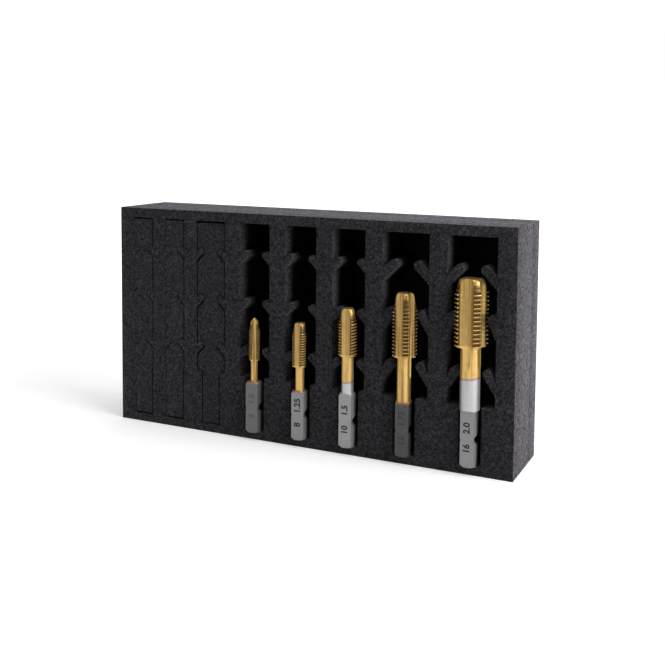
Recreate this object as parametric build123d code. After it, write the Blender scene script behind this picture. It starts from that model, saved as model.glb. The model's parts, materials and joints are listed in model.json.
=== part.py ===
from build123d import *

import os
from dataclasses import dataclass
from math import acos, asin, atan2, cos, degrees, radians, sin, sqrt, tan

# A foam insert stood on its long edge, with five thread-cutting taps pressed into its pockets.
# Millimetres: X right, Y back, Z up. The origin is the middle of the face that it stands on.

# Foam block
LEFT_RIM = 8.8
RIGHT_RIM = 9.25
TOP_RIM = 5.1
BOTTOM_RIM = 4.4
NARROW_WALL = 7.8  # between the pockets for the thinnest tools
WALL = 8.97  # between all the others
HEAD_ROOM = 19.45  # free pocket above the longest tap
CUT_DEPTH = 28.0  # front layer, which the pockets are cut right through
BASE_DEPTH = 13.0  # plain layer behind it

# Shank slot, the narrow lower end of every pocket
SLOT_HEIGHT = 28.1
SHANK_CLEARANCE = 1.0
SEAT_GAP = 0.05

# Foam fingers that grip the taps
FINGER_PAIRS = 3
FINGER_PITCH = 25.0
FINGER_SLOPE = 45.0
FINGER_CLEARANCE = 0.2
FINGER_BURY = 0.5  # how far a finger's drawn root runs into the wall that it grows from

# Square shank of the taps
SHANK_FLATS = 6.6
SHANK_END_CHAMFER = 1.2
SHANK_TOP_CHAMFER = 1.1
MILL_RADIUS = 8.0  # cutter that mills a square on a shank thicker than its corners
NOTCH_RADIUS = 2.7  # milled across the left and right flats, for the holder's spring balls
NOTCH_HEIGHT = 12.7
NOTCH_TURN = 12.0  # each notch runs inwards towards the back
NOTCH_FRONT_DEPTH = 0.2

# Flutes
RUN_OUT_SLOPE = 11.0  # how steeply each flute climbs out of the neck at its lower end


@dataclass
class PocketStyle:
    """A pocket's width and its fingers; the reach is from the wall to the tip's centre.

    The lower pairs of a used pocket stay spread to half the worn gap at least.
    """

    width: float
    finger_radius: float
    finger_reach: float
    finger_drop: float
    worn_half_gap: float


@dataclass
class Knockout:
    """Gaps round a foam knock-out that was cut but not taken out, and how it has slipped."""

    side_gap: float
    end_gap: float
    notch_gap: float
    slip_left: float
    slip_down: float
    sunk: float


@dataclass
class Tap:
    """A tap by its thread's nominal diameter. The turns are from the front towards +X."""

    name: str
    diameter: float
    length: float
    shank_length: float
    thread_length: float
    neck_diameter: float
    core_diameter: float
    tip_diameter: float
    lead_length: float
    nose_length: float
    nose_diameter: float
    flutes: int
    land_width: float
    flute_past: float
    land_turn: float
    shank_turn: float


NARROW = PocketStyle(width=12.3, finger_radius=1.75, finger_reach=2.3, finger_drop=16.1, worn_half_gap=0.0)
MEDIUM = PocketStyle(width=17.6, finger_radius=1.75, finger_reach=2.63, finger_drop=16.1, worn_half_gap=0.0)
WIDE = PocketStyle(width=24.0, finger_radius=2.2, finger_reach=5.7, finger_drop=15.6, worn_half_gap=5.75)

KNOCKOUT_1 = Knockout(side_gap=0.45, end_gap=0.85, notch_gap=0.45, slip_left=0.3, slip_down=0.1, sunk=0.15)
KNOCKOUT_2 = Knockout(side_gap=0.45, end_gap=0.85, notch_gap=0.45, slip_left=0.3, slip_down=0.1, sunk=0.25)
KNOCKOUT_3 = Knockout(side_gap=0.55, end_gap=0.75, notch_gap=0.65, slip_left=0.25, slip_down=0.45, sunk=0.5)
KNOCKOUT_BACK_GAP = 0.3

TAP_M6 = Tap(
    name="tap_m6", diameter=6.0, length=59.7, shank_length=26.5, thread_length=22.0,
    neck_diameter=3.6, core_diameter=2.9, tip_diameter=3.6, lead_length=6.8,
    nose_length=1.5, nose_diameter=0.5, flutes=3, land_width=3.0, flute_past=0.0,
    land_turn=-30.0, shank_turn=5.0,
)
TAP_M8 = Tap(
    name="tap_m8", diameter=8.0, length=59.6, shank_length=25.0, thread_length=22.3,
    neck_diameter=4.5, core_diameter=3.8, tip_diameter=5.7, lead_length=6.4,
    nose_length=0.5, nose_diameter=4.6, flutes=3, land_width=4.0, flute_past=0.0,
    land_turn=54.0, shank_turn=6.0,
)
TAP_M10 = Tap(
    name="tap_m10", diameter=10.0, length=69.5, shank_length=27.2, thread_length=23.6,
    neck_diameter=6.0, core_diameter=4.6, tip_diameter=6.4, lead_length=7.8,
    nose_length=0.5, nose_diameter=5.2, flutes=3, land_width=4.8, flute_past=7.0,
    land_turn=65.0, shank_turn=1.5,
)
TAP_M12 = Tap(
    name="tap_m12", diameter=12.0, length=79.5, shank_length=27.2, thread_length=30.9,
    neck_diameter=6.8, core_diameter=5.6, tip_diameter=8.2, lead_length=9.0,
    nose_length=0.6, nose_diameter=6.6, flutes=4, land_width=4.0, flute_past=8.5,
    land_turn=27.0, shank_turn=5.5,
)
TAP_M16 = Tap(
    name="tap_m16", diameter=16.0, length=89.0, shank_length=27.3, thread_length=31.8,
    neck_diameter=9.5, core_diameter=7.6, tip_diameter=11.7, lead_length=7.3,
    nose_length=0.7, nose_diameter=9.8, flutes=4, land_width=4.9, flute_past=7.0,
    land_turn=38.0, shank_turn=-3.0,
)

# Pockets from left to right: its style, the foam to its right, and what it holds
POCKETS = (
    (NARROW, NARROW_WALL, KNOCKOUT_1),
    (NARROW, NARROW_WALL, KNOCKOUT_2),
    (MEDIUM, WALL, KNOCKOUT_3),
    (MEDIUM, WALL, TAP_M6),
    (MEDIUM, WALL, TAP_M8),
    (MEDIUM, WALL, TAP_M10),
    (WIDE, WALL, TAP_M12),
    (WIDE, RIGHT_RIM, TAP_M16),
)
TAPS = [held for style, wall, held in POCKETS if isinstance(held, Tap)]

SHANK_CORNERS = SHANK_FLATS * sqrt(2)
BLOCK_WIDTH = LEFT_RIM + sum(style.width + wall for style, wall, held in POCKETS)
BLOCK_DEPTH = CUT_DEPTH + BASE_DEPTH
FRONT = -BLOCK_DEPTH / 2
LAYER_JOINT = FRONT + CUT_DEPTH
SLOT_WIDTH = SHANK_CORNERS + 2 * SHANK_CLEARANCE
SEAT = BOTTOM_RIM + SEAT_GAP
POCKET_TOP = SEAT + max(tap.length for tap in TAPS) + HEAD_ROOM
SLOT_TOP = BOTTOM_RIM + SLOT_HEIGHT
BLOCK_HEIGHT = POCKET_TOP + TOP_RIM


def tap_profile(tap):
    """Radius and height of each corner of a tap above its shank, before the flutes are cut."""
    neck = tap.neck_diameter / 2
    full = tap.diameter / 2
    thread_start = tap.length - tap.thread_length
    return [
        (neck, tap.shank_length),
        (neck, thread_start - (full - neck)),
        (full, thread_start),
        (full, tap.length - tap.lead_length),
        (tap.tip_diameter / 2, tap.length - tap.nose_length),
        (tap.nose_diameter / 2, tap.length),
    ]


def land_half_angle(tap):
    return degrees(asin(tap.land_width / tap.diameter))


def side_share(tap):
    """How much of the thread's radius its lands reach to the side, given how they are turned."""
    shares = []
    for index in range(tap.flutes):
        middle = tap.land_turn + index * 360 / tap.flutes
        for step in range(-4, 5):
            shares.append(abs(sin(radians(middle + step * land_half_angle(tap) / 4))))
    return max(shares)


def tap_half_width(tap, low, high):
    """Widest reach to the side of a seated tap between two heights."""
    widths = [0.0]
    corners = tap_profile(tap)
    for (radius_a, height_a), (radius_b, height_b) in zip(corners, corners[1:]):
        for height in (low - SEAT, high - SEAT, height_a, height_b):
            if low - SEAT <= height <= high - SEAT and height_a <= height <= height_b:
                share = (height - height_a) / max(height_b - height_a, 0.001)
                radius = radius_a + share * (radius_b - radius_a)
                fluted = height > tap.length - tap.thread_length
                widths.append(radius * side_share(tap) if fluted else radius)
    return max(widths)


def tip_clears(style, tap, tip_height, half_gap):
    """Whether a finger's round tip passes the seated tap with room to spare."""
    for step in range(-4, 5):
        height = step / 4 * style.finger_radius
        inset = style.finger_radius - sqrt(style.finger_radius**2 - height**2)
        width = tap_half_width(tap, tip_height + height, tip_height + height)
        if width > 0 and half_gap + inset < width + FINGER_CLEARANCE:
            return False
    return True


def tip_drop(style, pair):
    return style.finger_drop + pair * FINGER_PITCH


def finger_half_gap(style, held, pair):
    """Half the space between two finger tips: as cut, worn, or spread by the tap between them."""
    tip_height = POCKET_TOP - tip_drop(style, pair)
    relaxed = style.width / 2 - style.finger_reach - style.finger_radius
    if pair > 0:
        relaxed = max(relaxed, style.worn_half_gap)
    if not isinstance(held, Tap) or tip_clears(style, held, tip_height, relaxed):
        return relaxed
    rise = style.finger_reach / cos(radians(FINGER_SLOPE)) - style.finger_reach
    low = tip_height - style.finger_radius
    high = tip_height + style.finger_radius + rise
    return max(relaxed, tap_half_width(held, low, high) + FINGER_CLEARANCE)


def tangent_point(start, centre, radius, turn):
    """Where a line from start touches a circle, on the side that turn gives."""
    away = start - centre
    angle = atan2(away.Y, away.X) + turn * acos(radius / away.length)
    return centre + Vector(cos(angle), sin(angle)) * radius


def finger(style, tip_height, half_gap, skin):
    """The right-hand finger at one height, leaning up and inwards; skin thickens it all round."""
    slope = radians(FINGER_SLOPE)
    wall = style.width / 2
    root = tip_height - style.finger_reach * tan(slope)
    length = style.finger_reach / cos(slope)
    reach = min(style.finger_reach, wall - half_gap - style.finger_radius)
    tip = Vector(wall - reach, root + sqrt(length**2 - reach**2))
    radius = style.finger_radius + skin
    foot = radius / cos(slope)
    buried = Vector(FINGER_BURY, -FINGER_BURY * tan(slope))
    low = Vector(wall, root - foot) + buried
    high = Vector(wall, root + foot) + buried
    low_touch = tangent_point(low, tip, radius, -1)
    high_touch = tangent_point(high, tip, radius, 1)
    arm = make_face(Polyline(low, low_touch, high_touch, high, close=True))
    return arm + Pos(tip.X, tip.Y) * Circle(radius)


def pocket_outline(style, held, side_gap=0.0, end_gap=0.0, notch_gap=0.0):
    """A pocket's outline about its middle line, drawn smaller by the gaps for its knock-out."""
    top = POCKET_TOP - end_gap
    step = SLOT_TOP + end_gap
    floor = BOTTOM_RIM + end_gap
    wide = Pos(0, (top + step) / 2) * Rectangle(style.width - 2 * side_gap, top - step)
    slim = Pos(0, (step + floor) / 2) * Rectangle(SLOT_WIDTH - 2 * side_gap, step - floor)
    outline = wide + slim
    for pair in range(FINGER_PAIRS):
        half_gap = finger_half_gap(style, held, pair)
        right = finger(style, POCKET_TOP - tip_drop(style, pair), half_gap, notch_gap)
        outline = outline - right - mirror(right, about=Plane.YZ)
    return outline


def pocket_middles():
    """Each pocket's style, what it holds, and the X of its middle line."""
    edge = -BLOCK_WIDTH / 2 + LEFT_RIM
    for style, wall, held in POCKETS:
        yield style, held, edge + style.width / 2
        edge += style.width + wall


def upright(outline, back, depth):
    """Stands an outline up with its back at Y = back and extrudes it towards the front."""
    return extrude(Plane.XZ.offset(-back) * outline, amount=depth)


def block_outline():
    return Pos(0, BLOCK_HEIGHT / 2) * Rectangle(BLOCK_WIDTH, BLOCK_HEIGHT)


def pocket_layer():
    outline = block_outline()
    for style, held, middle in pocket_middles():
        outline = outline - Pos(middle, 0) * pocket_outline(style, held)
    return upright(outline, LAYER_JOINT, CUT_DEPTH)


def base_layer():
    return upright(block_outline(), LAYER_JOINT + BASE_DEPTH, BASE_DEPTH)


def knockout(style, held, middle):
    """The foam of one pocket, still in place after the cut."""
    outline = pocket_outline(style, held, held.side_gap, held.end_gap, held.notch_gap)
    placed = Pos(middle - held.slip_left, -held.slip_down) * outline
    back = LAYER_JOINT - KNOCKOUT_BACK_GAP
    return upright(placed, back, back - (FRONT + held.sunk))


def turned(corners):
    """Solid of revolution about Z through the given (radius, height) corners."""
    points = [(0, corners[0][1])] + corners + [(0, corners[-1][1])]
    half = Plane.XZ * make_face(Polyline(*points, close=True))
    return revolve(half, axis=Axis.Z)


def bar_shank(tap):
    """Shank of square bar with the corners of both its ends turned off."""
    corner = SHANK_CORNERS / 2
    envelope = turned([
        (corner - SHANK_END_CHAMFER, 0),
        (corner, SHANK_END_CHAMFER),
        (corner, tap.shank_length - SHANK_TOP_CHAMFER),
        (corner - SHANK_TOP_CHAMFER, tap.shank_length),
    ])
    return extrude(Rectangle(SHANK_FLATS, SHANK_FLATS), amount=tap.shank_length) & envelope


def milled_shank(tap):
    """Round shank with four flats milled on it, each ending in the cutter's arc."""
    radius = tap.neck_diameter / 2
    inner = SHANK_CORNERS / 2 - SHANK_END_CHAMFER
    shank = turned([(inner, 0), (radius, radius - inner), (radius, tap.shank_length)])
    straight = tap.shank_length - MILL_RADIUS
    path = Pos(0, straight) * Circle(MILL_RADIUS)
    path += Pos(0, straight / 2 - 1) * Rectangle(2 * MILL_RADIUS, straight + 2)
    cutter = extrude(Plane.XZ.offset(SHANK_FLATS / 2) * path, amount=tap.neck_diameter)
    for index in range(4):
        shank = shank - Rot(0, 0, index * 90) * cutter
    return shank


def notches():
    """Cutters for the round-bottomed notches across the left and right flats of a shank."""
    turn = radians(NOTCH_TURN)
    across = SHANK_FLATS / 2 - NOTCH_FRONT_DEPTH + NOTCH_RADIUS * cos(turn)
    back = -SHANK_FLATS / 2 + NOTCH_RADIUS * sin(turn)
    bar = Rot(0, 0, NOTCH_TURN) * Rot(90, 0, 0) * Cylinder(NOTCH_RADIUS, 5 * SHANK_FLATS)
    right = Pos(across, back, NOTCH_HEIGHT) * bar
    return [right, mirror(right, about=Plane.YZ)]


def flute_cutter(tap):
    """One straight flute facing the front, which climbs out of the neck at its lower end."""
    full = tap.diameter / 2
    core = tap.core_diameter / 2
    half_angle = radians(180 / tap.flutes - land_half_angle(tap))
    depth = full * cos(half_angle) - core
    radius = (depth**2 + (full * sin(half_angle)) ** 2) / (2 * depth)
    end = tap.length - tap.thread_length - tap.flute_past
    slope = radians(RUN_OUT_SLOPE)
    run_out = (tap.neck_diameter / 2 - core + 1) / sin(slope) + radius
    mitre = Plane.XY.rotated((-RUN_OUT_SLOPE / 2, 0, 0))
    upper = Pos(0, 0, tap.length / 2 - radius) * Cylinder(radius, tap.length)
    upper = split(upper, bisect_by=mitre, keep=Keep.TOP)
    lower = Rot(-RUN_OUT_SLOPE, 0, 0) * Pos(0, 0, radius - run_out / 2) * Cylinder(radius, run_out)
    lower = split(lower, bisect_by=mitre, keep=Keep.BOTTOM)
    lift = Pos(0, -core - radius, end)
    return lift * upper + lift * lower


def tap_solid(tap):
    """A tap standing on the origin with its marked flat facing the front."""
    neck = tap.neck_diameter / 2
    shank = milled_shank(tap) if neck > SHANK_CORNERS / 2 else bar_shank(tap)
    solid = shank + turned(tap_profile(tap))
    for notch in notches():
        solid = solid - notch
    cutter = flute_cutter(tap)
    for index in range(tap.flutes):
        turn = tap.land_turn - tap.shank_turn + (index + 0.5) * 360 / tap.flutes
        solid = solid - Rot(0, 0, turn) * cutter
    return solid


def seated_tap(tap, middle):
    return Pos(middle, FRONT, SEAT) * Rot(0, 0, tap.shank_turn) * tap_solid(tap)


def export_part(shape, name):
    export_step(shape, f"parts/{name}.step")


os.makedirs("parts", exist_ok=True)
export_part(pocket_layer(), "pocket_layer")
export_part(base_layer(), "base_layer")
knockouts_made = 0
for style, held, middle in pocket_middles():
    if isinstance(held, Knockout):
        knockouts_made += 1
        export_part(knockout(style, held, middle), f"knockout_{knockouts_made}")
    else:
        export_part(seated_tap(held, middle), held.name)
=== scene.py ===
"""A foam tool insert stood on its long edge, with five gold-coated taps in its pockets."""

import json
from math import asin, cos, pi, radians, sin, sqrt, tan

import bmesh
import bpy
from mathutils import Matrix, Vector

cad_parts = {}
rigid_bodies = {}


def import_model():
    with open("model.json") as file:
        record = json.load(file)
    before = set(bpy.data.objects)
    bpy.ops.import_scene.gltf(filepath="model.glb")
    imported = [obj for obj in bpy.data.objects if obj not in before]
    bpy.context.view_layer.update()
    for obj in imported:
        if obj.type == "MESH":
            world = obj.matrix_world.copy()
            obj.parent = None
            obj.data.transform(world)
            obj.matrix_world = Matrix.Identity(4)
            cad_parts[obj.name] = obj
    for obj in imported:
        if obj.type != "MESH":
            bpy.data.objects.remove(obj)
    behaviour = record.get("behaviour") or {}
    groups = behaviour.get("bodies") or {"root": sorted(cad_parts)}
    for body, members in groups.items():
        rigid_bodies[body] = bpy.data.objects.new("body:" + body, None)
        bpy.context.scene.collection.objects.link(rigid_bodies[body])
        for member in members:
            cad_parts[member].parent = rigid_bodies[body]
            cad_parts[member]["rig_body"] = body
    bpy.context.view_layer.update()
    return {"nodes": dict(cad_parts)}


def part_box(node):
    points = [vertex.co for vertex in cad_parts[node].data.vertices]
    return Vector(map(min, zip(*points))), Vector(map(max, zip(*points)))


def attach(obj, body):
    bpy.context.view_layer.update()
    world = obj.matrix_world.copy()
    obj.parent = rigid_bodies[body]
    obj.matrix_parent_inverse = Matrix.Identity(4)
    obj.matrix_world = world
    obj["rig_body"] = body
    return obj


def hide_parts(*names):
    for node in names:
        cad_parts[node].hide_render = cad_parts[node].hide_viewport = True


bl_info = {
    "name": "Tap Insert",
    "version": (1, 0, 0),
    "blender": (4, 5, 0),
    "location": "View3D > Sidebar > Tap Insert",
    "description": "Dresses a foam tool insert and the taps that stand in its pockets",
    "category": "Object",
}

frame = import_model()

MM = 0.001
FOAM_SHADES = {
    "pocket_layer": 1.0, "base_layer": 1.0, "knockout_1": 1.0, "knockout_2": 1.05, "knockout_3": 0.95,
}
BLOCK_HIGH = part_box("base_layer")[1]
BLOCK_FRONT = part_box("pocket_layer")[0].y
POCKET_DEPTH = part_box("pocket_layer")[1].y - BLOCK_FRONT

# The taps, in millimetres and degrees. Turns are from the front towards +X.
TAPS = {
    "tap_m6": dict(
        diameter=6.0, pitch=1.0, thread=22.0, lead=6.8, tip=3.6, nose=1.5, nose_tip=0.5,
        neck=3.6, core=2.9, flutes=3, land=3.0, flute_past=0.0, land_turn=-30.0, shank_turn=5.0,
        shank=26.5, coat_from=26.4, coat_tilt=0.0,
        mark="6    1.0", mark_ink=0.45, grey=0.42, brown_streaks=0.95,
    ),
    "tap_m8": dict(
        diameter=8.0, pitch=1.25, thread=22.3, lead=6.4, tip=5.7, nose=0.5, nose_tip=4.6,
        neck=4.5, core=3.8, flutes=3, land=4.0, flute_past=0.0, land_turn=54.0, shank_turn=6.0,
        shank=25.0, coat_from=24.8, coat_tilt=0.0,
        mark="8    1.25", mark_ink=1.0, grey=0.80, brown_streaks=0.25,
    ),
    "tap_m10": dict(
        diameter=10.0, pitch=1.5, thread=23.6, lead=7.8, tip=6.4, nose=0.5, nose_tip=5.2,
        neck=6.0, core=4.6, flutes=3, land=4.8, flute_past=7.0, land_turn=65.0, shank_turn=1.5,
        shank=27.2, coat_from=32.9, coat_tilt=0.06,
        mark="10    1.5", mark_ink=1.0, grey=1.0, brown_streaks=0.45,
    ),
    "tap_m12": dict(
        diameter=12.0, pitch=1.75, thread=30.9, lead=9.0, tip=8.2, nose=0.6, nose_tip=6.6,
        neck=6.8, core=5.6, flutes=4, land=4.0, flute_past=8.5, land_turn=27.0, shank_turn=5.5,
        shank=27.2, coat_from=26.4, coat_tilt=0.0,
        mark="12    1.75", mark_ink=0.5, grey=0.15, brown_streaks=0.85,
    ),
    "tap_m16": dict(
        diameter=16.0, pitch=2.0, thread=31.8, lead=7.3, tip=11.7, nose=0.7, nose_tip=9.8,
        neck=9.5, core=7.6, flutes=4, land=4.9, flute_past=7.0, land_turn=38.0, shank_turn=-3.0,
        shank=27.3, coat_from=42.3, coat_tilt=0.12,
        mark="16    2.0", mark_ink=1.0, grey=0.88, brown_streaks=0.55,
    ),
}

# Shape of one turn of the thread: place along the pitch and share of the thread's depth
THREAD_TURN = (
    (0.0, 0.0), (0.0625, 0.0), (0.125, 0.0), (0.28125, 0.5),
    (0.4375, 1.0), (0.5625, 1.0), (0.6875, 1.0), (0.84375, 0.5),
)
THREAD_DEPTH = 0.6134  # of the pitch
SHOULDER = 3.5  # how steeply the thread's lower end falls to the neck
LAND_STEPS = 8
FLUTE_STEPS = 14
RUN_OUT = tan(radians(11.0))  # climb of a flute below its straight part

# The shanks, in millimetres
SHANK_FLATS = 6.6
MARK_MIDDLE = 14.2

# Distances within which points count as one, in metres
CAD_MERGE = 2e-6
MERGE = 1e-6
TOUCH = 5e-7

# Painted shade: how the foam's colour is darkened down in the pockets and in the cut lines, in metres
# behind the block's front
OPEN_FROM = -0.0440  # left of this place the pockets still hold their foam
CUT_LINE_FADE = (0.00005, 0.0005)
POCKET_FADE = (0.003, 0.011)
POCKET_DARKNESS = 0.93
PAINTED_SHEEN_GAIN = 2.9  # painted sheen: how much lighter the foam's colour is made where the surface is seen along it than from above

# Camera and light
GLOSSY_LIGHT = 0.62
CAMERA_SHIFT = 0.199
CAMERA_PLACE = Vector((0.2194, -0.4484, 0.1627))
CAMERA_TURN = (radians(25.24), radians(4.34), radians(0.47))


class FoamSettings(bpy.types.PropertyGroup):
    """Looks of the black foam."""

    color: bpy.props.FloatVectorProperty(
        name="Foam color", description="Color of the foam's flat faces", subtype="COLOR",
        size=3, min=0.0, max=1.0, default=(0.0255, 0.0242, 0.0272),
    )
    cell_size: bpy.props.FloatProperty(
        name="Cell size", description="Width of the foam's closed cells", unit="LENGTH",
        default=0.00055, min=0.0001, max=0.005,
    )
    edge_radius: bpy.props.FloatProperty(
        name="Edge radius", description="How far the cut edges of the foam are rounded",
        unit="LENGTH", default=0.00022, min=0.0, max=0.001,
    )


class TapSettings(bpy.types.PropertyGroup):
    """Looks of the taps."""

    coat_color: bpy.props.FloatVectorProperty(
        name="Coating color", description="Color of the hard coating", subtype="COLOR",
        size=3, min=0.0, max=1.0, default=(0.94, 0.63, 0.21),
    )
    steel_color: bpy.props.FloatVectorProperty(
        name="Steel color", description="Color of the bare shanks", subtype="COLOR",
        size=3, min=0.0, max=1.0, default=(0.42, 0.42, 0.43),
    )
    mark_height: bpy.props.FloatProperty(
        name="Mark height", description="Height of the numbers on the shanks", unit="LENGTH",
        default=0.0032, min=0.0005, max=0.004,
    )


class StageSettings(bpy.types.PropertyGroup):
    """Camera and light."""

    focal_length: bpy.props.FloatProperty(
        name="Focal length", description="Focal length on a 36 mm wide sensor, in millimetres",
        default=52.18, min=10.0, max=300.0,
    )
    world_light: bpy.props.FloatProperty(
        name="World light", description="Strength of the light from all round",
        default=0.3, min=0.0, max=5.0,
    )
    floor_color: bpy.props.FloatVectorProperty(
        name="Floor color", description="Color of the floor", subtype="COLOR",
        size=3, min=0.0, max=1.0, default=(0.93, 0.93, 0.93),
    )


# ---------------------------------------------------------------- node helpers


def new_material(name):
    """A material with only its Principled shader and its output."""
    material = bpy.data.materials.new(name)
    material.use_nodes = True
    return material, material.node_tree, material.node_tree.nodes["Principled BSDF"]


def feed(tree, node, inputs):
    """Gives a node's inputs their values, or links them to the sockets that feed them."""
    for name, value in inputs.items():
        if isinstance(value, bpy.types.NodeSocket):
            tree.links.new(value, node.inputs[name])
        else:
            node.inputs[name].default_value = value


def add_node(tree, kind, inputs=None, **settings):
    """A node with its settings, whose inputs are values or the sockets that feed them."""
    node = tree.nodes.new(kind)
    for name, value in settings.items():
        setattr(node, name, value)
    feed(tree, node, inputs or {})
    return node


def math_node(tree, operation, first, second=0.0, third=0.0):
    node = add_node(tree, "ShaderNodeMath", {0: first, 1: second, 2: third}, operation=operation)
    return node.outputs[0]


def smooth_between(tree, value, low, high):
    """0 below low, 1 above high, and smooth between them."""
    node = add_node(
        tree, "ShaderNodeMapRange", {"Value": value, "From Min": low, "From Max": high},
        interpolation_type="SMOOTHSTEP",
    )
    return node.outputs["Result"]


def noise(tree, place, scale, detail):
    return add_node(tree, "ShaderNodeTexNoise", {"Vector": place, "Scale": scale, "Detail": detail})


def stretched_noise(tree, place, scales, detail):
    """Noise with its own scale along each axis, for brushed and ground surfaces."""
    mapping = add_node(tree, "ShaderNodeMapping", {"Vector": place, "Scale": scales})
    return noise(tree, mapping.outputs[0], 1.0, detail).outputs["Fac"]


def scaled(tree, color, factor):
    node = add_node(tree, "ShaderNodeVectorMath", {0: color, "Scale": factor}, operation="SCALE")
    return node.outputs[0]


def mix_color(tree, factor, first, second):
    node = add_node(tree, "ShaderNodeMix", {"Factor": factor}, data_type="RGBA", blend_type="MIX")
    for name, value in (("A_Color", first), ("B_Color", second)):
        socket = next(s for s in node.inputs if s.identifier == name)
        if isinstance(value, bpy.types.NodeSocket):
            tree.links.new(value, socket)
        else:
            socket.default_value = value
    return next(s for s in node.outputs if s.identifier == "Result_Color")


def new_group(name, inputs, outputs):
    """An empty node group with its sockets, and its input and output nodes."""
    group = bpy.data.node_groups.new(name, "ShaderNodeTree")
    for socket_name, kind, default in inputs:
        socket = group.interface.new_socket(socket_name, in_out="INPUT", socket_type=kind)
        if default is not None:
            socket.default_value = default
    for socket_name, kind in outputs:
        group.interface.new_socket(socket_name, in_out="OUTPUT", socket_type=kind)
    return group, group.nodes.new("NodeGroupInput"), group.nodes.new("NodeGroupOutput")


def foam_group():
    """Closed cells of the foam, as a color and a height."""
    if "Foam cells" in bpy.data.node_groups:
        return bpy.data.node_groups["Foam cells"]
    group, given, result = new_group(
        "Foam cells",
        [
            ("Vector", "NodeSocketVector", None),
            ("Color", "NodeSocketColor", None),
            ("Cells Per Metre", "NodeSocketFloat", 1800.0),
        ],
        [
            ("Color", "NodeSocketColor"), ("Roughness", "NodeSocketFloat"),
            ("Height", "NodeSocketFloat"),
        ],
    )
    place = given.outputs["Vector"]
    wobble = noise(group, place, 1500.0, 2.0)
    shifted = add_node(
        group, "ShaderNodeVectorMath",
        {0: wobble.outputs["Color"], 1: (0.0004, 0.0004, 0.0004), 2: place}, operation="MULTIPLY_ADD",
    )
    cells = add_node(
        group, "ShaderNodeTexVoronoi",
        {"Vector": shifted.outputs[0], "Scale": given.outputs["Cells Per Metre"]}, feature="F1",
    )
    mottle = noise(group, place, 700.0, 3.0)
    own = add_node(group, "ShaderNodeSeparateColor", {0: cells.outputs["Color"]})
    speck = math_node(group, "POWER", own.outputs[0], 4.0)
    pits = math_node(group, "SUBTRACT", own.outputs[1], cells.outputs["Distance"])
    shade = smooth_between(group, mottle.outputs["Fac"], 0.3, 0.7)
    base = math_node(group, "MULTIPLY_ADD", shade, 0.7, 0.4)
    bright = math_node(group, "MULTIPLY_ADD", speck, 1.6, base)
    feed(group, result, {
        "Color": scaled(group, given.outputs["Color"], bright),
        "Roughness": math_node(group, "MULTIPLY_ADD", shade, -0.2, 0.78),
        "Height": pits,
    })
    return group


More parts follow.
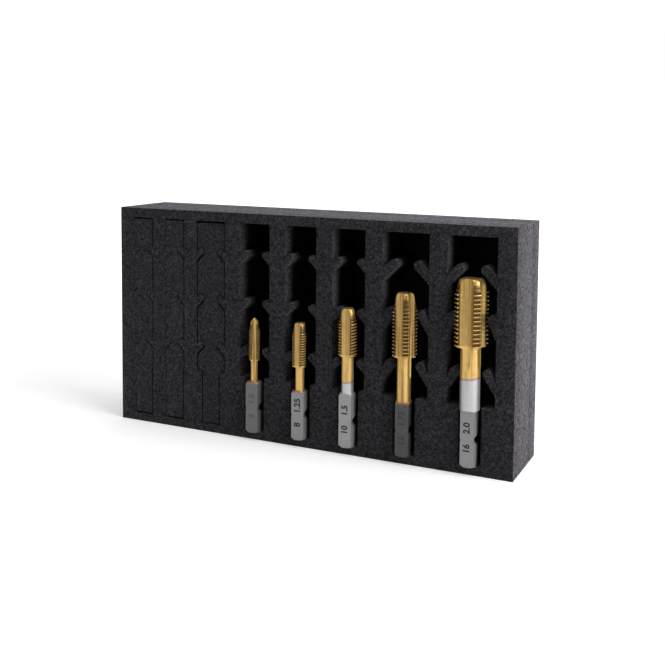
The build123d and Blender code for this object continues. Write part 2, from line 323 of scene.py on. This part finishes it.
def grind_group():
    """Ground steel with a coating from a height upwards, as a color, a roughness and a height."""
    if "Ground and coated" in bpy.data.node_groups:
        return bpy.data.node_groups["Ground and coated"]
    group, given, result = new_group(
        "Ground and coated",
        [
            ("Vector", "NodeSocketVector", None),
            ("Steel", "NodeSocketColor", None),
            ("Coating", "NodeSocketColor", None),
            ("Coating From", "NodeSocketFloat", 0.03),
            ("Tilt", "NodeSocketFloat", 0.0),
            ("Shank Top", "NodeSocketFloat", 0.03),
            ("Neck Color", "NodeSocketColor", None),
            ("Thread Radius", "NodeSocketFloat", 0.004),
            ("Thread Depth", "NodeSocketFloat", 0.0007),
            ("Thread From", "NodeSocketFloat", 0.04),
            ("Brown Streaks", "NodeSocketFloat", 0.3),
        ],
        [
            ("Color", "NodeSocketColor"), ("Roughness", "NodeSocketFloat"),
            ("Height", "NodeSocketFloat"), ("Metal", "NodeSocketFloat"),
        ],
    )
    place = given.outputs["Vector"]
    split = add_node(group, "ShaderNodeSeparateXYZ", {0: place})
    height = split.outputs["Z"]
    shank_top = given.outputs["Shank Top"]
    thread_from = given.outputs["Thread From"]
    stain = noise(group, place, 260.0, 4.0).outputs["Fac"]
    fleck = noise(group, place, 2600.0, 2.0).outputs["Fac"]

    # Grinding lines: along the shank, and round everything above it
    lengthwise = stretched_noise(group, place, (9000.0, 9000.0, 90.0), 3.0)
    rings = stretched_noise(group, place, (120.0, 120.0, 11000.0), 2.0)
    on_shank = smooth_between(
        group, height, shank_top, math_node(group, "SUBTRACT", shank_top, 0.0003))
    lines = add_node(
        group, "ShaderNodeMix", {"Factor": on_shank, "A": rings, "B": lengthwise}, data_type="FLOAT",
    ).outputs[0]

    # The coating's ragged lower edge, with heat colors just below it
    edge = math_node(
        group, "MULTIPLY_ADD", split.outputs["X"], given.outputs["Tilt"],
        given.outputs["Coating From"])
    ragged = math_node(
        group, "MULTIPLY_ADD", stain, 0.0010, math_node(group, "SUBTRACT", edge, 0.0005))
    coat = smooth_between(group, height, ragged, math_node(group, "ADD", ragged, 0.0008))
    tint_low = smooth_between(group, height, math_node(group, "SUBTRACT", ragged, 0.0012), ragged)
    tint = math_node(group, "MULTIPLY", tint_low, math_node(group, "SUBTRACT", 1.0, coat))
    bare = mix_color(group, on_shank, given.outputs["Neck Color"], given.outputs["Steel"])
    worn = mix_color(
        group, math_node(group, "MULTIPLY", stain, 0.35), bare, (0.20, 0.20, 0.21, 1.0))
    bronzed = mix_color(
        group, math_node(group, "MULTIPLY", tint, 0.8), worn, (0.42, 0.20, 0.07, 1.0))

    # The coating, with brown streaks along the tap
    warm = mix_color(
        group, smooth_between(group, stain, 0.35, 0.75),
        given.outputs["Coating"], (0.72, 0.41, 0.12, 1.0))
    warmed = mix_color(group, 0.55, given.outputs["Coating"], warm)
    # Brown lengthwise streaks on the coating, stronger on some taps than on others
    streak = stretched_noise(group, place, (900.0, 900.0, 25.0), 3.0)
    brown = math_node(
        group, "MULTIPLY", smooth_between(group, streak, 0.42, 0.68), given.outputs["Brown Streaks"])
    gold = mix_color(group, brown, warmed, (0.34, 0.17, 0.05, 1.0))
    color = mix_color(group, coat, bronzed, gold)

    # Painted shade: darker down in the thread's grooves and in the flutes
    flat = add_node(
        group, "ShaderNodeCombineXYZ", {0: split.outputs["X"], 1: split.outputs["Y"]})
    out = add_node(
        group, "ShaderNodeVectorMath", {0: flat.outputs[0]}, operation="LENGTH").outputs["Value"]
    below = math_node(
        group, "DIVIDE", math_node(group, "SUBTRACT", given.outputs["Thread Radius"], out),
        given.outputs["Thread Depth"])
    groove_shade = math_node(
        group, "MULTIPLY", smooth_between(group, below, 0.12, 0.6),
        smooth_between(group, below, 1.7, 1.1))
    threaded = smooth_between(
        group, height, thread_from, math_node(group, "ADD", thread_from, 0.0008))
    fluted = math_node(group, "MULTIPLY", smooth_between(group, below, 0.9, 1.3), 0.3)
    # Painted shade of the grooves and flutes, on the threaded part only
    dark = math_node(group, "MULTIPLY", threaded, math_node(
        group, "MAXIMUM", math_node(group, "MULTIPLY", groove_shade, 0.82), fluted))
    speck = math_node(group, "MULTIPLY_ADD", fleck, 0.3, 0.85)
    # Real flecks, with the painted shade of the grooves and flutes taken off them
    tone = math_node(group, "MULTIPLY", speck, math_node(group, "SUBTRACT", 1.0, dark))
    rough_line = math_node(group, "MULTIPLY_ADD", lines, 0.22, 0.24)
    feed(group, result, {
        "Color": scaled(group, color, tone),
        "Roughness": math_node(group, "MULTIPLY_ADD", on_shank, 0.2, rough_line),
        "Height": lines,
        "Metal": math_node(group, "MULTIPLY_ADD", on_shank, -0.25, 0.7),
    })
    return group


def painted_pocket_shade(tree, place):
    """Painted shade: 1 on the block's outside and near the pockets' mouths, and darker down in the
    pockets and on the side walls of the cut lines round the knock-outs.
    """
    split = add_node(tree, "ShaderNodeSeparateXYZ", {0: place})
    depth = math_node(tree, "SUBTRACT", split.outputs["Y"], BLOCK_FRONT)
    normal = add_node(tree, "ShaderNodeNewGeometry").outputs["Normal"]
    facing = add_node(tree, "ShaderNodeSeparateXYZ", {0: normal})
    sidelong = smooth_between(tree, math_node(tree, "ABSOLUTE", facing.outputs["Y"]), 0.95, 0.4)
    # Painted shade on the side walls of the cut lines, only left of OPEN_FROM where the knock-outs still
    # sit
    cut_line = math_node(tree, "MULTIPLY", sidelong, smooth_between(tree, depth, *CUT_LINE_FADE))
    cut_round = math_node(
        tree, "MULTIPLY", cut_line,
        smooth_between(tree, split.outputs["X"], OPEN_FROM, OPEN_FROM - 0.001),
    )
    deep = math_node(tree, "MAXIMUM", cut_round, smooth_between(tree, depth, *POCKET_FADE))
    sideways = math_node(tree, "ABSOLUTE", split.outputs["X"])
    off_middle = math_node(
        tree, "ABSOLUTE", math_node(tree, "SUBTRACT", split.outputs["Z"], BLOCK_HIGH.z / 2))
    within = math_node(
        tree, "MULTIPLY",
        smooth_between(tree, sideways, BLOCK_HIGH.x - 0.003, BLOCK_HIGH.x - 0.006),
        smooth_between(tree, off_middle, BLOCK_HIGH.z / 2 - 0.001, BLOCK_HIGH.z / 2 - 0.003),
    )
    before_back = smooth_between(tree, depth, POCKET_DEPTH + 0.003, POCKET_DEPTH + 0.001)
    dark = math_node(tree, "MULTIPLY", math_node(tree, "MULTIPLY", deep, within), before_back)
    return math_node(tree, "MULTIPLY_ADD", dark, -POCKET_DARKNESS, 1.0)


def foam_material(settings, name, shade, has_pockets):
    """Black closed-cell foam; shade makes a piece's own tone a little lighter or darker."""
    material, tree, shader = new_material(name)
    place = add_node(tree, "ShaderNodeTexCoord").outputs["Object"]
    color = [channel * shade for channel in settings.color] + [1.0]
    cells = add_node(
        tree, "ShaderNodeGroup",
        {"Vector": place, "Color": color, "Cells Per Metre": 1 / settings.cell_size},
        node_tree=foam_group(),
    )
    bump = add_node(
        tree, "ShaderNodeBump",
        {"Strength": 0.55, "Distance": 0.00012, "Height": cells.outputs["Height"]},
    )
    # Painted sheen: the colour is made lighter where the surface is seen slantwise
    slant = add_node(tree, "ShaderNodeLayerWeight", {"Blend": 0.5})
    sheen_share = smooth_between(tree, slant.outputs["Facing"], 0.15, 0.95)
    painted_light_gain = math_node(tree, "MULTIPLY_ADD", sheen_share, PAINTED_SHEEN_GAIN, 1.0)
    # Painted shade down in the pockets and cut lines of the two layers
    if has_pockets:
        painted_light_gain = math_node(tree, "MULTIPLY", painted_light_gain, painted_pocket_shade(tree, place))
    feed(tree, shader, {
        "Base Color": scaled(tree, cells.outputs["Color"], painted_light_gain),
        "Roughness": cells.outputs["Roughness"],
        "Normal": bump.outputs["Normal"],
        "Specular IOR Level": 0.08,
    })
    return material


def tap_material(settings, node, tap):
    """Ground steel shank, gold coating above it, with this tap's own border between them."""
    material, tree, shader = new_material(f"{node}_metal")
    place = add_node(tree, "ShaderNodeTexCoord").outputs["Object"]
    axis, seat = tap_axis(node)
    centred = add_node(
        tree, "ShaderNodeMapping", {"Vector": place, "Location": (-axis.x, -axis.y, -seat)})
    length = (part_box(node)[1].z - seat) / MM
    metal = add_node(tree, "ShaderNodeGroup", {
        "Vector": centred.outputs[0],
        "Steel": [channel * tap["grey"] for channel in settings.steel_color] + [1.0],
        "Coating": list(settings.coat_color) + [1.0],
        "Neck Color": (0.72, 0.72, 0.73, 1.0),
        "Coating From": tap["coat_from"] * MM,
        "Tilt": tap["coat_tilt"],
        "Shank Top": tap["shank"] * MM,
        "Thread Radius": tap["diameter"] / 2 * MM,
        "Thread Depth": THREAD_DEPTH * tap["pitch"] * MM,
        "Thread From": (length - tap["thread"]) * MM,
        "Brown Streaks": tap["brown_streaks"],
    }, node_tree=grind_group())
    bump = add_node(
        tree, "ShaderNodeBump",
        {"Strength": 0.35, "Distance": 0.00002, "Height": metal.outputs["Height"]},
    )
    feed(tree, shader, {
        "Base Color": metal.outputs["Color"],
        "Roughness": metal.outputs["Roughness"],
        "Normal": bump.outputs["Normal"],
        "Metallic": metal.outputs["Metal"],
    })
    return material


def mark_material(node, tap):
    """Laser-burnt numbers, darker on some shanks than on others."""
    material, tree, shader = new_material(f"{node}_mark")
    place = add_node(tree, "ShaderNodeTexCoord").outputs["Object"]
    burn = noise(tree, place, 3000.0, 3.0)
    steel = 0.35 * tap["grey"] * (1 - tap["mark_ink"]) + 0.03
    light = [steel * 1.5] * 3 + [1.0]
    dark = [steel * 0.6] * 3 + [1.0]
    feed(tree, shader, {
        "Base Color": mix_color(tree, burn.outputs["Fac"], dark, light),
        "Metallic": 0.6,
        "Roughness": 0.55,
    })
    return material


# ---------------------------------------------------------------- mesh helpers


def show(name, data):
    """A new object in the scene."""
    shown = bpy.data.objects.new(name, data)
    bpy.context.scene.collection.objects.link(shown)
    return shown


def new_mesh(bm, name, material):
    """A mesh with its material from a bmesh, which is freed."""
    mesh = bpy.data.meshes.new(name)
    bm.to_mesh(mesh)
    bm.free()
    mesh.materials.append(material)
    return mesh


def finish_piece(bm, name, material, body, replaced=(), sharp_angle=30.0):
    """Turns a bmesh into a piece that rides on a body and stands for the given nodes."""
    bmesh.ops.recalc_face_normals(bm, faces=bm.faces)
    limit = radians(sharp_angle)
    for face in bm.faces:
        face.smooth = True
    for edge in bm.edges:
        edge.smooth = len(edge.link_faces) == 2 and edge.calc_face_angle(0.0) < limit
    piece = show(name, new_mesh(bm, name, material))
    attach(piece, body)
    if replaced:
        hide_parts(*replaced)
    return piece


def node_copy(node):
    """A bmesh of a CAD node's mesh, with its loose triangles merged into whole faces."""
    bm = bmesh.new()
    bm.from_mesh(frame["nodes"][node].data)
    bmesh.ops.remove_doubles(bm, verts=bm.verts, dist=CAD_MERGE)
    bmesh.ops.dissolve_limit(
        bm, angle_limit=radians(0.3), verts=bm.verts, edges=bm.edges,
        use_dissolve_boundaries=False,
    )
    return bm


def round_edges(bm, radius):
    """Rounds the edges of a bmesh that turn by more than 50 degrees."""
    limit = radians(50)
    sharp = [e for e in bm.edges if len(e.link_faces) == 2 and e.calc_face_angle(0.0) > limit]
    bmesh.ops.bevel(
        bm, geom=sharp, offset=radius, offset_type="OFFSET", segments=2, affect="EDGES",
        profile=0.5, material=-1, clamp_overlap=True,
    )


def tap_axis(node):
    """The middle of a tap's lower end and the height of that end, from its CAD mesh."""
    low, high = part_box(node)
    end = [v.co for v in frame["nodes"][node].data.vertices if v.co.z < low.z + 0.01 * MM]
    middle = [(min(p[i] for p in end) + max(p[i] for p in end)) / 2 for i in (0, 1)]
    return Vector(middle), low.z


# ---------------------------------------------------------------- taps


def flute_shape(tap):
    """Half a land's angle, and a flute's radius and its centre's distance from the axis."""
    full = tap["diameter"] / 2
    core = tap["core"] / 2
    half_land = asin(tap["land"] / tap["diameter"])
    half_gap = pi / tap["flutes"] - half_land
    depth = full * cos(half_gap) - core
    radius = (depth**2 + (full * sin(half_gap)) ** 2) / (2 * depth)
    return half_land, radius, core + radius


def flute_depth(tap, angle, rise):
    """Radius at which a flute's wall stands, at an angle from the middle of the first land."""
    half_land, radius, centre = flute_shape(tap)
    centre += rise
    step = 2 * pi / tap["flutes"]
    off = (angle % step) - step / 2
    inside = radius**2 - (centre * sin(off)) ** 2
    if inside <= 0:
        return tap["diameter"]
    return centre * cos(off) - sqrt(inside)


def column_angles(tap):
    """Angles of the thread's lines of points, closest together over the lands."""
    half_land = flute_shape(tap)[0]
    step = 2 * pi / tap["flutes"]
    angles = []
    for index in range(tap["flutes"]):
        start = index * step - half_land
        angles += [start + 2 * half_land * i / LAND_STEPS for i in range(LAND_STEPS)]
        gap = step - 2 * half_land
        angles += [start + 2 * half_land + gap * i / FLUTE_STEPS for i in range(FLUTE_STEPS)]
    return angles + [2 * pi - half_land]


def thread_radius(tap, length, height, share, angle):
    """Radius of the fluted thread at a height, an angle and a share of the thread's depth."""
    full = tap["diameter"] / 2
    neck = tap["neck"] / 2
    start = length - tap["thread"]
    lead_start = length - tap["lead"]
    nose_start = length - tap["nose"]
    radius = full - share * THREAD_DEPTH * tap["pitch"]
    radius = min(radius, neck + SHOULDER * max(0.0, height - (start - (full - neck) / SHOULDER)))
    if height > lead_start:
        taper = (height - lead_start) / (nose_start - lead_start)
        radius = min(radius, full + min(1.0, taper) * (tap["tip"] / 2 - full))
    if height > nose_start:
        taper = (height - nose_start) / (length - nose_start)
        radius = min(radius, (tap["tip"] + taper * (tap["nose_tip"] - tap["tip"])) / 2)
    rise = RUN_OUT * max(0.0, start - tap["flute_past"] - height)
    return min(radius, flute_depth(tap, angle, rise))


def thread_part(bm, node, tap):
    """Adds the fluted thread: a column of points screwed round the axis, then cut to shape."""
    low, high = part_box(node)
    axis, seat = tap_axis(node)
    length = (high.z - low.z) / MM
    full = tap["diameter"] / 2
    bottom = length - tap["thread"] - (full - tap["neck"] / 2)
    pitch = tap["pitch"]
    angles = column_angles(tap)
    steps = len(angles) - 1
    turns = int((length - bottom) / pitch) + 4
    height_layer = bm.verts.layers.float.new("height")
    share_layer = bm.verts.layers.float.new("share")
    column = []
    for turn in range(turns):
        for place, share in THREAD_TURN:
            height = bottom + (turn - 2 + place) * pitch
            vert = bm.verts.new((full, 0, height))
            vert[height_layer] = height
            vert[share_layer] = share
            column.append(vert)
    edges = [bm.edges.new(pair) for pair in zip(column, column[1:])]
    bmesh.ops.spin(
        bm, geom=column + edges, cent=(0, 0, 0), axis=(0, 0, 1), dvec=(0, 0, pitch / steps),
        angle=2 * pi, steps=steps, use_merge=False, use_duplicate=False,
    )
    land_direction = radians(tap["land_turn"] - 90)
    for vert in bm.verts:
        index = round((vert.co.z - vert[height_layer]) / (pitch / steps))
        angle = angles[index]
        height = vert[height_layer] + pitch * angle / (2 * pi)
        height = min(max(height, bottom), length)
        radius = thread_radius(tap, length, height, vert[share_layer], angle)
        turned = angle + land_direction
        vert.co = (
            axis.x + radius * cos(turned) * MM,
            axis.y + radius * sin(turned) * MM,
            seat + height * MM,
        )
    bmesh.ops.remove_doubles(bm, verts=bm.verts, dist=MERGE)
    bmesh.ops.dissolve_degenerate(bm, dist=TOUCH, edges=bm.edges)
    bmesh.ops.holes_fill(bm, edges=[e for e in bm.edges if e.is_boundary], sides=0)
    return bottom


def shank_part(bm, node, tap, top):
    """Adds the shank and neck below the thread, cut from a copy of the CAD mesh."""
    lower = node_copy(node)
    seat = tap_axis(node)[1]
    geometry = lower.verts[:] + lower.edges[:] + lower.faces[:]
    bmesh.ops.bisect_plane(
        lower, geom=geometry, dist=TOUCH, plane_co=(0, 0, seat + top * MM),
        plane_no=(0, 0, 1), clear_outer=True,
    )
    bmesh.ops.holes_fill(lower, edges=[e for e in lower.edges if e.is_boundary], sides=0)
    mesh = bpy.data.meshes.new("shank")
    lower.to_mesh(mesh)
    lower.free()
    bm.from_mesh(mesh)
    bpy.data.meshes.remove(mesh)


def mark_piece(node, tap, size):
    """The size as plain numbers, standing along the shank's front flat."""
    axis, seat = tap_axis(node)
    curve = bpy.data.curves.new(f"{node}_mark", "FONT")
    curve.body = tap["mark"]
    curve.size = size * 1.38
    curve.extrude = 0.015 * MM
    curve.offset = 0.15 * MM
    curve.align_x = "CENTER"
    curve.align_y = "CENTER"
    curve.resolution_u = 3
    holder = show(f"{node}_mark_text", curve)
    bpy.context.view_layer.update()
    depsgraph = bpy.context.evaluated_depsgraph_get()
    mesh = bpy.data.meshes.new_from_object(holder.evaluated_get(depsgraph))
    bpy.data.objects.remove(holder)
    bpy.data.curves.remove(curve)
    stand = (
        Matrix.Translation((axis.x, axis.y, seat + MARK_MIDDLE * MM))
        @ Matrix.Rotation(radians(tap["shank_turn"]), 4, "Z")
        @ Matrix.Translation((0, -SHANK_FLATS / 2 * MM, 0))
        @ Matrix.Rotation(radians(90), 4, "X")
        @ Matrix.Rotation(radians(90), 4, "Z")
    )
    bm = bmesh.new()
    bm.from_mesh(mesh)
    bpy.data.meshes.remove(mesh)
    bmesh.ops.remove_doubles(bm, verts=bm.verts, dist=MERGE)
    bmesh.ops.transform(bm, matrix=stand, verts=bm.verts)
    finish_piece(bm, f"{node}_mark", mark_material(node, tap), node)


# ---------------------------------------------------------------- operators


class INSERT_OT_foam(bpy.types.Operator):
    """Dress the two foam layers and the knock-outs left in their pockets"""

    bl_idname = "insert.foam"
    bl_label = "Foam block"

    def execute(self, context):
        settings = context.scene.foam_settings
        for node, shade in FOAM_SHADES.items():
            bm = node_copy(node)
            round_edges(bm, settings.edge_radius)
            body = frame["nodes"][node]["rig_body"]
            material = foam_material(settings, f"{node}_foam", shade, body == "foam_block")
            piece = finish_piece(bm, f"{node}_piece", material, body, (node,), 40.0)
        return {"FINISHED"}


class INSERT_OT_taps(bpy.types.Operator):
    """Model the taps with their threads, flutes, necks and square shanks"""

    bl_idname = "insert.taps"
    bl_label = "Taps"

    def execute(self, context):
        settings = context.scene.tap_settings
        for node, tap in TAPS.items():
            bm = bmesh.new()
            top = thread_part(bm, node, tap)
            shank_part(bm, node, tap, top)
            material = tap_material(settings, node, tap)
            finish_piece(bm, f"{node}_piece", material, node, (node,))
        return {"FINISHED"}


class INSERT_OT_marks(bpy.types.Operator):
    """Write each tap's size on its shank in plain numbers"""

    bl_idname = "insert.marks"
    bl_label = "Size numbers"

    def execute(self, context):
        for node, tap in TAPS.items():
            mark_piece(node, tap, context.scene.tap_settings.mark_height)
        return {"FINISHED"}


class INSERT_OT_stage(bpy.types.Operator):
    """Set up the floor, the light and the camera"""

    bl_idname = "insert.stage"
    bl_label = "Stage"

    def execute(self, context):
        settings = context.scene.stage_settings
        build_floor(settings)
        build_world(context.scene, settings)
        build_lights()
        build_flag()
        build_camera(context.scene, settings)
        context.scene.view_settings.view_transform = "Standard"
        return {"FINISHED"}


# ---------------------------------------------------------------- stage


def stage_sheet(name, half_width, stand, material):
    """A flat square sheet, placed by a matrix."""
    bm = bmesh.new()
    bmesh.ops.create_grid(bm, x_segments=1, y_segments=1, size=half_width)
    bmesh.ops.transform(bm, matrix=stand, verts=bm.verts)
    return show(name, new_mesh(bm, name, material))


def build_floor(settings):
    """Plain floor just under the object, white to the camera away from it."""
    material, tree, shader = new_material("floor_paper")
    place = add_node(tree, "ShaderNodeTexCoord").outputs["Object"]
    away = add_node(tree, "ShaderNodeVectorMath", {0: place}, operation="LENGTH").outputs["Value"]
    glow = math_node(tree, "MULTIPLY_ADD", smooth_between(tree, away, 0.2, 0.8), 0.67, 0.33)
    path = add_node(tree, "ShaderNodeLightPath")
    feed(tree, shader, {
        "Base Color": list(settings.floor_color) + [1.0],
        "Roughness": 0.9,
        "Specular IOR Level": 0.0,
        "Emission Color": (1.0, 1.0, 1.0, 1.0),
        "Emission Strength": math_node(tree, "MULTIPLY", glow, path.outputs["Is Camera Ray"]),
    })
    floor = stage_sheet("floor", 40.0, Matrix.Translation((0, 0, -0.00005)), material)


def build_world(scene, settings):
    """White to the camera and to reflections, and a softer light for everything else."""
    world = bpy.data.worlds.new("studio")
    scene.world = world
    world.use_nodes = True
    tree = world.node_tree
    path = add_node(tree, "ShaderNodeLightPath")
    seen = math_node(tree, "MAXIMUM", path.outputs["Is Camera Ray"], path.outputs["Is Transmission Ray"])
    direct = math_node(tree, "MULTIPLY_ADD", seen, 1 - settings.world_light, settings.world_light)
    glossy = math_node(
        tree, "MULTIPLY", path.outputs["Is Glossy Ray"], GLOSSY_LIGHT - settings.world_light)
    feed(tree, tree.nodes["Background"], {
        "Color": (1.0, 1.0, 1.0, 1.0),
        "Strength": math_node(tree, "ADD", direct, glossy),
    })


def area_light(name, place, target, size, power):
    data = bpy.data.lights.new(name, "AREA")
    data.shape = "RECTANGLE"
    data.size, data.size_y = size
    data.energy = power
    light = show(name, data)
    light.location = place
    light.rotation_euler = (Vector(target) - Vector(place)).to_track_quat("-Z", "Y").to_euler()


def build_lights():
    middle = (0.0, 0.0, 0.06)
    area_light("overhead", (0.10, 0.15, 1.0), middle, (1.2, 0.9), 5.0)
    area_light("right", (1.17, -0.25, 0.70), middle, (0.8, 1.2), 14.0)


def build_flag():
    """A black card at the front right, which only reflections see."""
    material, _, shader = new_material("flag_cloth")
    shader.inputs["Base Color"].default_value = (0.01, 0.01, 0.01, 1.0)
    shader.inputs["Roughness"].default_value = 1.0
    stand = (
        Matrix.Translation((0.53, -0.53, 0.45))
        @ Matrix.Rotation(radians(45), 4, "Z")
        @ Matrix.Rotation(radians(90), 4, "X")
        @ Matrix.Diagonal((0.5, 1.0, 1.0, 1.0))
    )
    flag = stage_sheet("flag", 0.5, stand, material)
    for kind in ("camera", "diffuse", "transmission", "volume_scatter", "shadow"):
        setattr(flag, f"visible_{kind}", False)


def build_camera(scene, settings):
    data = bpy.data.cameras.new("camera")
    data.sensor_width = 36.0
    data.lens = settings.focal_length
    data.shift_y = -CAMERA_SHIFT
    data.clip_start = 0.01
    camera = show("camera", data)
    azimuth, elevation, roll = CAMERA_TURN
    forward = Vector((
        -sin(azimuth) * cos(elevation), cos(azimuth) * cos(elevation), -sin(elevation),
    ))
    turn = forward.to_track_quat("-Z", "Y").to_matrix().to_4x4()
    camera.matrix_world = Matrix.Translation(CAMERA_PLACE) @ turn @ Matrix.Rotation(roll, 4, "Z")
    scene.camera = camera


# ---------------------------------------------------------------- panel and run


class INSERT_PT_panel(bpy.types.Panel):
    """Lists the operators of this insert"""

    bl_label = "Tap Insert"
    bl_idname = "INSERT_PT_panel"
    bl_space_type = "VIEW_3D"
    bl_region_type = "UI"
    bl_category = "Tap Insert"

    def draw(self, context):
        layout = self.layout
        scene = context.scene
        for settings in (scene.foam_settings, scene.tap_settings, scene.stage_settings):
            for name in settings.__annotations__:
                layout.prop(settings, name)
        for operator in OPERATORS:
            layout.operator(operator.bl_idname)


OPERATORS = (INSERT_OT_foam, INSERT_OT_taps, INSERT_OT_marks, INSERT_OT_stage)
CLASSES = (FoamSettings, TapSettings, StageSettings) + OPERATORS + (INSERT_PT_panel,)


def register():
    for cls in CLASSES:
        bpy.utils.register_class(cls)
    bpy.types.Scene.foam_settings = bpy.props.PointerProperty(type=FoamSettings)
    bpy.types.Scene.tap_settings = bpy.props.PointerProperty(type=TapSettings)
    bpy.types.Scene.stage_settings = bpy.props.PointerProperty(type=StageSettings)


def unregister():
    del bpy.types.Scene.stage_settings
    del bpy.types.Scene.tap_settings
    del bpy.types.Scene.foam_settings
    for cls in reversed(CLASSES):
        bpy.utils.unregister_class(cls)


def main():
    register()
    bpy.ops.insert.foam()
    bpy.ops.insert.taps()
    bpy.ops.insert.marks()
    bpy.ops.insert.stage()


if __name__ == "__main__":
    main()
